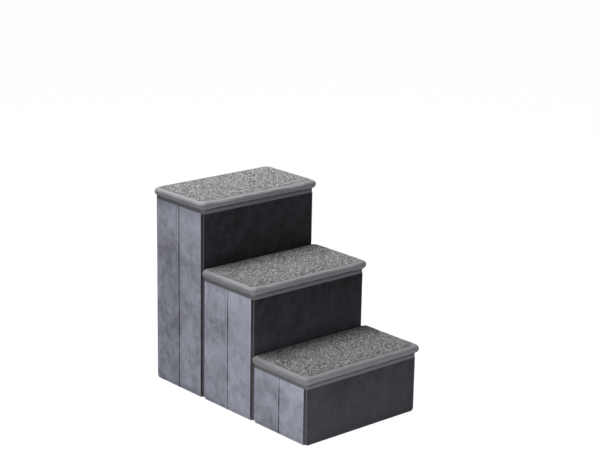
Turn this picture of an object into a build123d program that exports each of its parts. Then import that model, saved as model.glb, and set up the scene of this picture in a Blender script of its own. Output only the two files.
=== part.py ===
from build123d import *
import os

# Pet stairs made of three tall fabric covered boxes that stand one behind the other.
# Each box has a stiff riser in front, a stiff back and two sides that fold inwards
# at a seam in their middle. A padded lid with a carpet inlay closes it as a tread.
# X runs across the stairs, Y from the lowest step to the highest, Z up from the floor.
# The origin lies on the floor, below the middle of the whole outline.

# Driving sizes of the stairs
step_names = ("low", "middle", "high")
step_width = 360.0
first_tread_height = 175.0
step_rise = 170.0

# Walls of a box
riser_thickness = 10.4
back_thickness = 6.5
side_thickness = 8.0
side_half_length = 89.0
joining_strip_thickness = 1.5
riser_corner_radius = 7.0
back_corner_radius = 4.5
bottom_corner_radius = 9.5
bottom_edge_radius = 2.5
side_seam_radius = 2.0
side_end_radius = 0.8
inner_edge_radius = 0.6

# Board inside a wall and the cover around it
cover_edge_thickness = 3.0
riser_padding_thickness = 4.4
tongue_skin = 1.6

# Velour rim round the mouth of a box
rim_height = 10.5
rim_top_thickness = 3.0
rim_top_radius = 2.5

# Piping down the two front corners
piping_radius = 1.2
piping_clearance = 0.05

# Lid
lid_thickness = 21.5
lid_edge_flat = 1.0
lid_corner_radius = 14.0
lid_side_overhang = 11.0
lid_front_overhang = 8.0
lid_rest_gap = 0.3
lid_back_gap = 0.4
lid_board_thickness = 5.0
lid_board_margin = 15.0
lid_board_corner_radius = 6.0
carpet_corner_radius = 10.0
carpet_thickness = 6.8
carpet_proud = 0.3
carpet_clearance = 0.3
carpet_edge_radius = 1.5
border_inner_radius = 1.5
border_flat_width = 0.25

# Hinge tape that holds the lid to the back wall
hinge_tape_thickness = 0.8
hinge_tape_drop = 26.0
hinge_tape_side_margin = 16.0
hinge_tape_corner_radius = 6.0
hinge_tape_clearance = 0.4

# Strips that join two boxes
joining_strip_width = 30.0
joining_strip_place = 112.0
joining_strip_margin = 25.0
joining_strip_corner_radius = 5.0

# Soft bottom sewn between the walls
floor_cloth_thickness = 2.0
floor_cloth_height = 2.0
soft_clearance = 0.3

# Clearance at the one corner where the folding ring of walls isn't hinged
open_corner_gap = 0.3

# Worked out from the sizes above
half_width = step_width / 2
side_inner_x = half_width - side_thickness
box_inside_length = 2 * side_half_length
step_pitch = riser_thickness + box_inside_length + back_thickness + joining_strip_thickness
lid_half_width = half_width + lid_side_overhang
lid_edge_radius = (lid_thickness - lid_edge_flat) / 2
carpet_margin = lid_edge_radius + border_flat_width + border_inner_radius
lid_depth = lid_front_overhang + step_pitch - lid_back_gap
stairs_depth = (len(step_names) - 1) * step_pitch + lid_depth
first_riser_y = lid_front_overhang - stairs_depth / 2
carpet_recess_depth = carpet_thickness - carpet_proud


class Step:
    """Places of one box in the stairs."""

    def __init__(self, name, number):
        self.name = name
        self.riser_face = first_riser_y + number * step_pitch
        self.riser_inside = self.riser_face + riser_thickness
        self.seam = self.riser_inside + side_half_length
        self.back_inside = self.seam + side_half_length
        self.back_face = self.back_inside + back_thickness
        self.tread_top = first_tread_height + number * step_rise
        self.lid_bottom = self.tread_top - lid_thickness
        self.rim_top = self.lid_bottom - lid_rest_gap
        self.rim_bottom = self.rim_top - rim_height
        self.tongue_top = self.rim_top - rim_top_thickness
        self.lid_front = self.riser_face - lid_front_overhang
        self.lid_back = self.lid_front + lid_depth


def outline(low, high, radii):
    """Rectangle between two corners. The radii go round it from the low corner."""
    (left, bottom), (right, top) = low, high
    places = ((left, bottom), (right, bottom), (right, top), (left, top))
    shape = Pos((left + right) / 2, (bottom + top) / 2) * Rectangle(right - left, top - bottom)
    for (across, up), radius in zip(places, radii):
        if radius > 0:
            corner = shape.vertices().sort_by_distance((across, up, 0))[0]
            shape = fillet(corner, radius)
    return shape


def from_plan(shape, bottom, top):
    """Plan outline raised from one height to another."""
    return extrude(Pos(0, 0, bottom) * shape, amount=top - bottom)


def from_front(shape, front, back):
    """Front view outline carried from one depth to another."""
    return extrude(Plane.XZ.offset(-back) * shape, amount=back - front)


def from_side(shape, left, right):
    """Side view outline carried across from left to right."""
    return extrude(Plane.YZ.offset(left) * shape, amount=right - left)


def wall_block(front, back, bottom, top, plan_radii, front_radii, side_radii):
    """Full width wall rounded in plan, in front view and in side view."""
    plan = outline((-half_width, front), (half_width, back), plan_radii)
    face = outline((-half_width, bottom), (half_width, top), front_radii)
    edge = outline((front, bottom), (back, top), side_radii)
    block = from_plan(plan, bottom, top) & from_front(face, front, back)
    return block & from_side(edge, -half_width, half_width)


def riser_board(step):
    """Stiff board of the riser, which reaches up into the rim."""
    corner = bottom_corner_radius - cover_edge_thickness
    reach = half_width - cover_edge_thickness
    face = outline((-reach, cover_edge_thickness), (reach, step.tongue_top), (corner, corner, 0, 0))
    return from_front(face, step.riser_face + riser_padding_thickness, step.riser_inside)


def corner_piping(step, radius):
    """Two cords of piping that run down the rounded front corners and in under them."""
    inset = riser_corner_radius * (1 - 0.5**0.5)
    place = half_width - inset
    cord = Cylinder(radius, step.rim_bottom, align=(Align.CENTER, Align.CENTER, Align.MIN))
    cords = [Pos(side * place, step.riser_face + inset, 0) * cord for side in (-1, 1)]
    reach = half_width + radius
    turn = bottom_corner_radius + radius
    face = outline((-reach, 0), (reach, step.rim_bottom), (turn, turn, 0, 0))
    limit = from_front(face, step.riser_face - riser_corner_radius, step.riser_inside)
    return [cord & limit for cord in cords]


def riser_cover(step):
    """Padded cover round the outer face and the edges of the riser board."""
    block = wall_block(
        step.riser_face,
        step.riser_inside,
        0,
        step.rim_bottom,
        (riser_corner_radius, riser_corner_radius, 0, 0),
        (bottom_corner_radius, bottom_corner_radius, 0, 0),
        (bottom_edge_radius, inner_edge_radius, 0, 0),
    )
    cover = block - riser_board(step)
    for groove in corner_piping(step, piping_radius + piping_clearance):
        cover = cover - groove
    return cover


def rim_block(step, front, back, plan_radii):
    """Full width binding with a rounded top."""
    plan = outline((-half_width, front), (half_width, back), plan_radii)
    block = from_plan(plan, step.rim_bottom, step.rim_top)
    return fillet(block.edges().group_by(Axis.Z)[-1], rim_top_radius)


def riser_rim(step):
    """Velour binding over the top edge of the riser."""
    radii = (riser_corner_radius, riser_corner_radius, 0, 0)
    return rim_block(step, step.riser_face, step.riser_inside, radii) - riser_board(step)


def back_tongue(step):
    """Top of the back board, which stands in the rim."""
    reach = half_width - cover_edge_thickness
    face = outline((-reach, step.rim_bottom), (reach, step.tongue_top), (0, 0, 0, 0))
    return from_front(face, step.back_inside + tongue_skin, step.back_face - tongue_skin)


def back_panel(step):
    """Covered board that closes the back of a box."""
    block = wall_block(
        step.back_inside,
        step.back_face,
        0,
        step.rim_bottom,
        (0, 0, back_corner_radius, back_corner_radius),
        (bottom_corner_radius, bottom_corner_radius, 0, 0),
        (inner_edge_radius, bottom_edge_radius, 0, 0),
    )
    return block + back_tongue(step)


def back_rim(step):
    """Velour binding over the top edge of the back."""
    radii = (0, 0, back_corner_radius, back_corner_radius)
    return rim_block(step, step.back_inside, step.back_face, radii) - back_tongue(step)


def half_ends(step, side, end):
    """Front and back ends of a side half, with play at the corner that isn't hinged."""
    if end == "back":
        return step.seam, step.back_inside
    play = open_corner_gap if side > 0 else 0
    return step.riser_inside + play, step.seam


def half_block(step, side, end, bottom, top, view_radii):
    """Side half on the right, rounded at its seam, then set on its own side."""
    front, back = half_ends(step, side, end)
    end_radii = (side_seam_radius, side_end_radius) if end == "back" else (side_end_radius, side_seam_radius)
    plan = outline((side_inner_x, front), (half_width, back), (0, end_radii[0], end_radii[1], 0))
    view = outline((side_inner_x, bottom), (half_width, top), view_radii)
    block = from_plan(plan, bottom, top) & from_front(view, front, back)
    return block if side > 0 else mirror(block, about=Plane.YZ)


def half_tongue(step, side, end):
    """Top of the board in a side half, which stands in the rim."""
    front, back = half_ends(step, side, end)
    low = (side_inner_x + tongue_skin, front + cover_edge_thickness)
    high = (half_width - tongue_skin, back - cover_edge_thickness)
    tongue = from_plan(outline(low, high, (0, 0, 0, 0)), step.rim_bottom, step.tongue_top)
    return tongue if side > 0 else mirror(tongue, about=Plane.YZ)


def side_half(step, side, end):
    """Covered board that is one half of a folding side."""
    radii = (inner_edge_radius, bottom_edge_radius, 0, 0)
    return half_block(step, side, end, 0, step.rim_bottom, radii) + half_tongue(step, side, end)


def side_rim(step, side, end):
    """Velour binding over the top edge of a side half."""
    radii = (0, 0, rim_top_radius, rim_top_radius)
    block = half_block(step, side, end, step.rim_bottom, step.rim_top, radii)
    return block - half_tongue(step, side, end)


def lid_outline(step, margin, corner_radius):
    """Plan of the lid drawn in by a margin on all four sides."""
    reach = lid_half_width - margin
    low = (-reach, step.lid_front + margin)
    high = (reach, step.lid_back - margin)
    return outline(low, high, (corner_radius,) * 4)


def lid_board(step):
    """Stiff board in the underside of the lid."""
    plan = lid_outline(step, lid_board_margin, lid_board_corner_radius)
    return from_plan(plan, step.lid_bottom, step.lid_bottom + lid_board_thickness)


def lid_border(step):
    """Padded velour border of the lid, with a full round edge and a bed for the carpet."""
    plan = lid_outline(step, 0, lid_corner_radius)
    pad = from_plan(plan, step.lid_bottom, step.tread_top)
    rims = pad.edges().group_by(Axis.Z)
    pad = fillet(rims[0] + rims[-1], lid_edge_radius)
    bed_plan = lid_outline(step, carpet_margin, carpet_corner_radius)
    pad = pad - from_plan(bed_plan, step.tread_top - carpet_recess_depth, step.tread_top)
    mouth = pad.faces().sort_by(Axis.Z)[-1].inner_wires()[0].edges()
    pad = fillet(mouth, border_inner_radius)
    return pad - lid_board(step)


def lid_carpet(step):
    """Carpet inlay that lies in the bed of the lid and stands a little proud."""
    plan = lid_outline(step, carpet_margin + carpet_clearance, carpet_corner_radius - carpet_clearance)
    bottom = step.tread_top - carpet_recess_depth
    carpet = from_plan(plan, bottom, bottom + carpet_thickness)
    return fillet(carpet.edges().group_by(Axis.Z)[-1], carpet_edge_radius)


def hinge_tape(step):
    """Velour tape on the outside of the back, which ends just under the round edge of the lid."""
    reach = half_width - hinge_tape_side_margin
    edge_centre_y = step.lid_back - lid_edge_radius
    edge_centre_z = step.lid_bottom + lid_edge_radius
    out = step.back_face - edge_centre_y
    fall = (lid_edge_radius**2 - out**2) ** 0.5
    top = edge_centre_z - fall - hinge_tape_clearance
    corner = hinge_tape_corner_radius
    face = outline((-reach, step.rim_top - hinge_tape_drop), (reach, top), (corner, corner, 0, 0))
    return from_front(face, step.back_face, step.back_face + hinge_tape_thickness)


def joining_strips(step):
    """Two upright strips that hold the back of a box to the riser behind it."""
    strips = []
    for side in (-1, 1):
        left = side * joining_strip_place - joining_strip_width / 2
        low = (left, joining_strip_margin)
        tape_bottom = step.rim_top - hinge_tape_drop
        high = (left + joining_strip_width, tape_bottom - joining_strip_margin)
        face = outline(low, high, (joining_strip_corner_radius,) * 4)
        strips.append(from_front(face, step.back_face, step.back_face + joining_strip_thickness))
    return strips


def floor_cloth(step):
    """Soft bottom of a box, which folds up when the sides fold in."""
    reach = side_inner_x - soft_clearance
    low = (-reach, step.riser_inside + soft_clearance)
    high = (reach, step.back_inside - soft_clearance)
    plan = outline(low, high, (0, 0, 0, 0))
    return from_plan(plan, floor_cloth_height, floor_cloth_height + floor_cloth_thickness)


def step_parts(step):
    """All pieces of one box by name."""
    parts = {
        "riser_cover": riser_cover(step),
        "riser_board": riser_board(step),
        "riser_rim": riser_rim(step),
        "riser_piping": Compound(children=corner_piping(step, piping_radius)),
        "back_panel": back_panel(step),
        "back_rim": back_rim(step),
        "floor_cloth": floor_cloth(step),
        "lid_board": lid_board(step),
        "lid_border": lid_border(step),
        "lid_carpet": lid_carpet(step),
        "lid_hinge_tape": hinge_tape(step),
    }
    for side_name, side in (("left", -1), ("right", 1)):
        for end in ("back", "front"):
            parts[f"{side_name}_{end}_half"] = side_half(step, side, end)
            parts[f"{side_name}_{end}_rim"] = side_rim(step, side, end)
    return {f"{step.name}_{name}": shape for name, shape in parts.items()}


def all_parts():
    """All pieces of the stairs by name."""
    steps = [Step(name, number) for number, name in enumerate(step_names)]
    parts = {}
    for step in steps:
        parts.update(step_parts(step))
    for step in steps[:-1]:
        parts[f"{step.name}_joining_strips"] = Compound(children=joining_strips(step))
    return parts


os.makedirs("parts", exist_ok=True)
for node, shape in all_parts().items():
    export_step(shape, f"parts/{node}.step")
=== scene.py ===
"""Looks of the folding pet stairs: padded lids with carpet inlays and brushed suede walls."""

import logging
import math
from dataclasses import dataclass
from enum import Enum
from typing import Callable, ClassVar, Mapping, Sequence

import bmesh
import bpy
import numpy as np
from mathutils import Matrix, Vector, noise


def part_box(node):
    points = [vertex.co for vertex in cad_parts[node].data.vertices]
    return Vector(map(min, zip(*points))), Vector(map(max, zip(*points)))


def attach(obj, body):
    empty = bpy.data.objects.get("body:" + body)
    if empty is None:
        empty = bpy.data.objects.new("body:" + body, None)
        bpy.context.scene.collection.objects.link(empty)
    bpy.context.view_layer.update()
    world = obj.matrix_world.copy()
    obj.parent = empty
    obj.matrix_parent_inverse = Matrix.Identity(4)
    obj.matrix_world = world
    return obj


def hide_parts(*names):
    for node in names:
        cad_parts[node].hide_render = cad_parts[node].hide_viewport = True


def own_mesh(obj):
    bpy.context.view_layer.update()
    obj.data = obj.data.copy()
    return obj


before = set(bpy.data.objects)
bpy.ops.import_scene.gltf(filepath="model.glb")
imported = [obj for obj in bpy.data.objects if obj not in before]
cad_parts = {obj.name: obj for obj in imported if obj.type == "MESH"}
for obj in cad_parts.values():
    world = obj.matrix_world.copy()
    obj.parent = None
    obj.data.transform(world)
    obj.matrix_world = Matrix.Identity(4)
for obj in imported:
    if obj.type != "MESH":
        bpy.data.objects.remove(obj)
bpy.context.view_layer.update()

Triple = tuple[float, float, float]
MM = 0.001
TINY = 1e-6
UP = Vector((0.0, 0.0, 1.0))
# layer of painted light and shade on the suede, which its tone reads
PAINTED_LIGHT_LAYER = "nap"
YARN = "yarn"
log = logging.getLogger("pet_stairs")


class StepName(Enum):
    """The three boxes of the stairs, from the floor up."""

    LOW = "low"
    MIDDLE = "middle"
    HIGH = "high"


class Side(Enum):
    """Left and right, seen from the front."""

    LEFT = -1
    RIGHT = 1

    @property
    def word(self) -> str:
        """The side's name in a node's name."""
        return self.name.lower()


class Half(Enum):
    """The two halves of a folding side."""

    BACK = "back"
    FRONT = "front"


class Axis(Enum):
    """The axes of the shared frame."""

    X = 0
    Y = 1
    Z = 2


BACK_BODY = {
    StepName.LOW: "middle_riser",
    StepName.MIDDLE: "high_riser",
    StepName.HIGH: "high_back",
}


# Shader trees

class Link:
    """One output in a shader tree. Arithmetic on it adds Math nodes."""

    def __init__(self, paint: "Paint", socket: bpy.types.NodeSocket) -> None:
        """Wraps an output socket of the paint's tree."""
        self.paint = paint
        self.socket = socket

    def _math(self, operation: str, first: "Link | float", second: "Link | float") -> "Link":
        """Adds one Math node for an operation on two values."""
        node = self.paint.add("ShaderNodeMath", {"operation": operation}, {0: first, 1: second})
        return self.paint.out(node, "Value")

    def __add__(self, other: "Link | float") -> "Link":
        """Sum."""
        return self._math("ADD", self, other)

    __radd__ = __add__

    def __sub__(self, other: "Link | float") -> "Link":
        """Difference."""
        return self._math("SUBTRACT", self, other)

    def __mul__(self, other: "Link | float") -> "Link":
        """Product."""
        return self._math("MULTIPLY", self, other)


Value = Link | float | Sequence[float]


@dataclass(frozen=True)
class Pattern:
    """A random pattern in a surface, with what it does to the tone, the shine and the relief.

    Attributes:
        size: size of its patches in metres.
        tone: how strongly it makes the colour lighter and darker.
        relief: height of its relief in metres, below 0 where high values are hollows.
        dull: how strongly it changes the roughness.
        detail: number of finer layers.
        rough: strength of the finer layers.
        swirl: how much the patches are drawn into streaks.
        stretch: factors on the coordinates.
        turn: turns of the coordinates in degrees.
        scatter: makes cells instead, 0 for a regular grid, 1 for random places.
        middle: the value that changes nothing.
    """

    size: float
    tone: float
    relief: float = 0.0
    dull: float = 0.0
    detail: float = 2.0
    rough: float = 0.5
    swirl: float = 0.0
    stretch: Triple = (1.0, 1.0, 1.0)
    turn: Triple = (0.0, 0.0, 0.0)
    scatter: float | None = None
    middle: float = 0.5


class Paint:
    """The node tree of one material."""

    def __init__(self, name: str) -> None:
        """Makes an empty material with a surface shader.

        Args:
            name: the material's name.
        """
        self.material = bpy.data.materials.new(name)
        self.material.use_nodes = True
        self.tree = self.material.node_tree
        self.tree.nodes.clear()
        self.output = self.tree.nodes.new("ShaderNodeOutputMaterial")
        self.shader = self.tree.nodes.new("ShaderNodeBsdfPrincipled")
        self.tree.links.new(self.shader.outputs[0], self.output.inputs["Surface"])

    def add(
        self,
        kind: str,
        settings: Mapping[str, object] | None = None,
        inputs: Mapping[str | int, Value] | None = None,
    ) -> bpy.types.Node:
        """Adds a node.

        Args:
            kind: the node's type.
            settings: its properties.
            inputs: values or links of its sockets.

        Returns:
            The node.
        """
        node = self.tree.nodes.new(kind)
        for key, value in (settings or {}).items():
            setattr(node, key, value)
        for key, value in (inputs or {}).items():
            self.feed(node.inputs[key], value)
        return node

    def feed(self, socket: bpy.types.NodeSocket, value: Value) -> None:
        """Sets a socket's value or links it.

        Args:
            socket: the input socket.
            value: a number, a colour, a vector or a link.
        """
        if isinstance(value, Link):
            self.tree.links.new(value.socket, socket)
        elif isinstance(value, tuple) and socket.type == "RGBA":
            socket.default_value = (*value, 1.0)
        else:
            socket.default_value = value

    def out(self, node: bpy.types.Node, name: str | int) -> Link:
        """One output of a node as a link."""
        return Link(self, node.outputs[name])

    def layer(self, name: str, output: str) -> Link:
        """A layer of values that the mesh brings."""
        return self.out(self.add("ShaderNodeAttribute", {"attribute_name": name}), output)

    def draw(self, pattern: Pattern) -> Link:
        """Draws a pattern in object coordinates.

        Args:
            pattern: the pattern.

        Returns:
            Its values, about 0 to 1.
        """
        place = self.out(self.add("ShaderNodeTexCoord"), "Object")
        turn = tuple(math.radians(angle) for angle in pattern.turn)
        inputs = {"Vector": place, "Rotation": turn, "Scale": pattern.stretch}
        place = self.out(self.add("ShaderNodeMapping", {"vector_type": "POINT"}, inputs), "Vector")
        inputs = {"Vector": place, "Scale": 1.0 / pattern.size}
        if pattern.scatter is not None:
            inputs["Randomness"] = pattern.scatter
            return self.out(self.add("ShaderNodeTexVoronoi", {"feature": "F1"}, inputs), "Distance")
        inputs |= {"Detail": pattern.detail, "Roughness": pattern.rough}
        inputs["Distortion"] = pattern.swirl
        return self.out(self.add("ShaderNodeTexNoise", None, inputs), 0)

    def shade(self, colour: Value, tone: Link) -> Link:
        """A colour times a tone that makes it lighter or darker."""
        inputs = {0: colour, "Scale": tone}
        return self.out(self.add("ShaderNodeVectorMath", {"operation": "SCALE"}, inputs), "Vector")

    def bump(self, height: Link, depth: float, under: Link | None) -> Link:
        """Surface relief.

        Args:
            height: pattern from 0 to 1.
            depth: height of the relief in metres, below 0 to turn it round.
            under: coarser relief that it lies on.

        Returns:
            The normal.
        """
        inputs = {"Height": height, "Distance": abs(depth), "Strength": 1.0}
        if under is not None:
            inputs["Normal"] = under
        return self.out(self.add("ShaderNodeBump", {"invert": depth < 0.0}, inputs), "Normal")

    def finish(self, **sockets: Value) -> bpy.types.Material:
        """Sets the surface shader's sockets.

        Args:
            sockets: values by socket name, with underscores for spaces.

        Returns:
            The material.
        """
        for name, value in sockets.items():
            self.feed(self.shader.inputs[name.replace("_", " ")], value)
        return self.material


# Finishes

@dataclass(frozen=True)
class Finish:
    """A cloth, thread or board with its colour, as it is bought."""

    name: str
    slot: str
    colour: Triple
    roughness: float = 0.9
    sheen: float = 0.1
    sheen_roughness: float = 0.5
    specular: float = 0.2

    def patterns(self) -> tuple[Pattern, ...]:
        """The patterns in its surface, a coarse relief before the fine one that lies on it."""
        raise NotImplementedError

    def base(self, paint: Paint) -> tuple[Value, Link | float]:
        """The colour and the tone that the patterns work on."""
        return self.colour, 1.0

    def material(self) -> bpy.types.Material:
        """The finish as a material, made once."""
        return bpy.data.materials.get(self.name) or self.paint()

    def paint(self) -> bpy.types.Material:
        """Makes the material.

        Returns:
            The material.
        """
        paint = Paint(self.name)
        colour, tone = self.base(paint)
        roughness: Link | float = self.roughness
        relief: Link | None = None
        for pattern in self.patterns():
            value = paint.draw(pattern)
            tone = (value - pattern.middle) * pattern.tone + tone
            if pattern.dull:
                roughness = (value - pattern.middle) * pattern.dull + roughness
            if pattern.relief:
                relief = paint.bump(value, pattern.relief, relief)
        return paint.finish(
            Base_Color=paint.shade(colour, tone),
            Roughness=roughness,
            Normal=relief,
            Sheen_Weight=self.sheen,
            Sheen_Roughness=self.sheen_roughness,
            Specular_IOR_Level=self.specular,
        )


@dataclass(frozen=True)
class Suede(Finish):
    """Brushed suede cloth, whose short pile lies in cloudy patches."""

    roughness: float = 0.88
    sheen: float = 0.2
    sheen_roughness: float = 0.45
    specular: float = 0.15
    mark: float = 0.75

    def patterns(self) -> tuple[Pattern, ...]:
        """Clouds, brush strokes and marks over the fuzz and the fine pile."""
        strokes = Pattern(
            16.0 * MM, tone=0.4, rough=0.6, stretch=(1.0, 1.0, 0.35), turn=(8.0, 5.0, 0.0)
        )
        return (
            Pattern(50.0 * MM, tone=0.9, dull=0.15, detail=3.0, rough=0.6),
            strokes,
            Pattern(32.0 * MM, tone=self.mark, swirl=1.6),
            Pattern(4.0 * MM, tone=0.3, relief=0.35 * MM, rough=0.6),
            Pattern(0.9 * MM, tone=0.3, relief=0.25 * MM, rough=0.7),
        )

    def base(self, paint: Paint) -> tuple[Value, Link | float]:
        """The colour, and a tone with the painted light and shade that the mesh brings."""
        return self.colour, paint.layer(PAINTED_LIGHT_LAYER, "Fac") + 1.0


@dataclass(frozen=True)
class Velour(Finish):
    """Close velour with a soft shine and faint marks where it was pressed."""

    roughness: float = 0.72
    sheen: float = 0.35
    sheen_roughness: float = 0.35
    specular: float = 0.25

    def patterns(self) -> tuple[Pattern, ...]:
        """Pressed marks over the ribs and the pile."""
        return (
            Pattern(28.0 * MM, tone=0.22, dull=0.2, detail=3.0, rough=0.55),
            Pattern(3.2 * MM, tone=0.16, relief=0.3 * MM, rough=0.55),
            Pattern(0.7 * MM, tone=0.22, relief=0.2 * MM, rough=0.7),
        )


@dataclass(frozen=True)
class LoopCarpet(Finish):
    """Mottled loop carpet; each loop brings its own yarn shade."""

    roughness: float = 0.92
    sheen: float = 0.15
    specular: float = 0.1

    def patterns(self) -> tuple[Pattern, ...]:
        """Twist and fibres of the yarn."""
        return (
            Pattern(1.2 * MM, tone=0.3, detail=1.0, stretch=(1.0, 0.4, 1.0)),
            Pattern(0.6 * MM, tone=0.5, relief=0.25 * MM, rough=0.7),
        )

    def base(self, paint: Paint) -> tuple[Value, Link | float]:
        """The shade of each loop's yarn, and an even tone."""
        return paint.layer(YARN, "Color"), 1.0


@dataclass(frozen=True)
class Lining(Finish):
    """Non-woven lining with a pressed grid of dots."""

    dot: float = 2.4 * MM

    def patterns(self) -> tuple[Pattern, ...]:
        """Dots pressed into the felt."""
        return (
            Pattern(self.dot, tone=0.35, relief=0.3 * MM, scatter=0.08, middle=0.4),
            Pattern(0.8 * MM, tone=0.3, relief=0.15 * MM, rough=0.7),
            Pattern(30.0 * MM, tone=0.2),
        )


@dataclass(frozen=True)
class Thread(Finish):
    """Twisted sewing thread, also the woven cover of piping at a larger size."""

    roughness: float = 0.65
    sheen: float = 0.15
    sheen_roughness: float = 0.4
    specular: float = 0.3
    twist: float = 0.6 * MM

    def patterns(self) -> tuple[Pattern, ...]:
        """The slanting plies and some wear."""
        plies = Pattern(
            self.twist,
            tone=0.6,
            relief=0.2 * MM,
            detail=1.0,
            stretch=(1.0, 1.0, 0.6),
            turn=(35.0, 35.0, 0.0),
        )
        return plies, Pattern(20.0 * MM, tone=0.25)


@dataclass(frozen=True)
class HookLoop(Finish):
    """Hook and loop strip with fine rows of hooks."""

    roughness: float = 0.6
    sheen: float = 0.0
    specular: float = 0.4

    def patterns(self) -> tuple[Pattern, ...]:
        """The hooks, light and raised in the middle of each cell."""
        return (Pattern(1.1 * MM, tone=-1.0, relief=-0.5 * MM, scatter=0.35, middle=0.2),)


SIDE_SUEDE = Suede("blue_grey_suede", "side_suede", (0.350, 0.359, 0.430))
RISER_SUEDE = Suede(
    "anthracite_suede", "riser_suede", (0.050, 0.046, 0.056), mark=0.6, sheen=0.04
)
LID_VELOUR = Velour("lid_velour", "lid_velour", (0.196, 0.195, 0.218))
RIM_VELOUR = Velour("rim_velour", "rim_velour", (0.168, 0.172, 0.190))
TREAD_CARPET = LoopCarpet("mottled_carpet", "tread_carpet", (0.26, 0.26, 0.27))
PIPING_CLOTH = Thread("piping_cloth", "piping", (0.150, 0.149, 0.170), twist=1.0 * MM)
RISER_THREAD = Thread("riser_thread", "riser_suede", (0.055, 0.052, 0.060))
SIDE_THREAD = Thread("side_thread", "side_suede", (0.21, 0.215, 0.25))
VELOUR_THREAD = Thread("velour_thread", "lid_velour", (0.20, 0.20, 0.21))
DARK_LINING = Lining("dark_lining", "lining", (0.030, 0.030, 0.034))
LINED_BOARD = Lining("lined_board", "lined_board", (0.034, 0.034, 0.038), dot=3.2 * MM)
HOOK_STRIP = HookLoop("hook_strip", "hook_and_loop", (0.02, 0.02, 0.022))


# Meshes

STITCH_PITCH = 4.2 * MM
STITCH_REACH = 0.40 * STITCH_PITCH
THREAD_RADIUS = 0.42 * MM
STRIP_CREASE = 30.0


def mesh_data(mesh: bmesh.types.BMesh, name: str) -> bpy.types.Mesh:
    """Turns a mesh into mesh data of this name, and frees it.

    Args:
        mesh: the mesh, which is used up.
        name: the data's name.

    Returns:
        The data.
    """
    data = bpy.data.meshes.new(name)
    mesh.to_mesh(data)
    mesh.free()
    return data


def stand(name: str, data: bpy.types.ID) -> bpy.types.Object:
    """Puts a new object with this data into the scene.

    Args:
        name: the object's name.
        data: its mesh, light or camera.

    Returns:
        The object.
    """
    made = bpy.data.objects.new(name, data)
    bpy.context.scene.collection.objects.link(made)
    return made


def take_in(mesh: bmesh.types.BMesh, data: bpy.types.Mesh) -> None:
    """Adds mesh data to a mesh and removes the data."""
    mesh.from_mesh(data)
    bpy.data.meshes.remove(data)


def seat(
    mesh: bmesh.types.BMesh,
    name: str,
    finish: Finish,
    body: str,
    nodes: Sequence[str] = (),
    crease: float = 55.0,
) -> bpy.types.Object:
    """Turns a finished mesh into a piece, dresses it and seats it on its body.

    Args:
        mesh: the mesh, which is used up.
        name: the piece's name.
        finish: its finish.
        body: the body that it moves with.
        nodes: the solids that it stands for.
        crease: edges sharper than this many degrees stay sharp.

    Returns:
        The piece.
    """
    bmesh.ops.recalc_face_normals(mesh, faces=mesh.faces)
    data = mesh_data(mesh, name)
    data.polygons.foreach_set("use_smooth", [True] * len(data.polygons))
    data.set_sharp_from_angle(angle=math.radians(crease))
    data.materials.append(finish.material())
    piece = stand(name, data)
    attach(piece, body)
    if nodes:
        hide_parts(*nodes)
    return piece


def dress_board(node: str) -> None:
    """Gives a board that is shown as its solid the finish of lined board.

    Args:
        node: the board's solid.
    """
    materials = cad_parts[node].data.materials
    materials.clear()
    materials.append(LINED_BOARD.material())


def brush(piece: bpy.types.Object, shade: Callable[[Vector], float]) -> None:
    """Writes painted light and shade into a layer of the mesh, as a function gives it for a point.
    """
    layer = piece.data.attributes.new(PAINTED_LIGHT_LAYER, "FLOAT", "POINT")
    layer.data.foreach_set("value", [shade(vertex.co) for vertex in piece.data.vertices])


def ease(share: float) -> float:
    """Smooth step from 0 to 1."""
    share = min(max(share, 0.0), 1.0)
    return share * share * (3.0 - 2.0 * share)


def bell(distance: float, width: float) -> float:
    """Smooth hump from 1 at distance 0 down to 0 at its width."""
    return ease(1.0 - abs(distance) / width)


@dataclass(frozen=True)
class Mark:
    """A line beside an edge, along which painted light or shade lies, or the cloth stands higher.

    Attributes:
        strength: what it adds in its middle, below 0 for darker or lower.
        place: distance of its middle from the edge.
        width: distance from its middle to where it ends.
    """

    strength: float
    place: float
    width: float


def marked(marks: Sequence[Mark], distance: float) -> float:
    """What marks add at a distance from their edge."""
    return sum(mark.strength * bell(distance - mark.place, mark.width) for mark in marks)


def arc_inset(radius: float, depth: float) -> float:
    """How far a rounded edge stands back.

    Args:
        radius: the edge's radius.
        depth: distance from the end of the rounding.

    Returns:
        The inset, 0 where the rounding is over.
    """
    left = radius - min(depth, radius)
    return radius - math.sqrt(max(radius**2 - left**2, 0.0))


@dataclass(frozen=True)
class Swell:
    """How a padded face swells between its sewn edges.

    Attributes:
        height: how far the edges lie below the middle.
        patch: size of the uneven patches.
        edge: width of the border that is drawn in.
        level: share of the height that an even face reaches.
        uneven: how strongly the patches change it.
    """

    height: float
    patch: float
    edge: float
    level: float = 0.8
    uneven: float = 0.6


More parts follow.
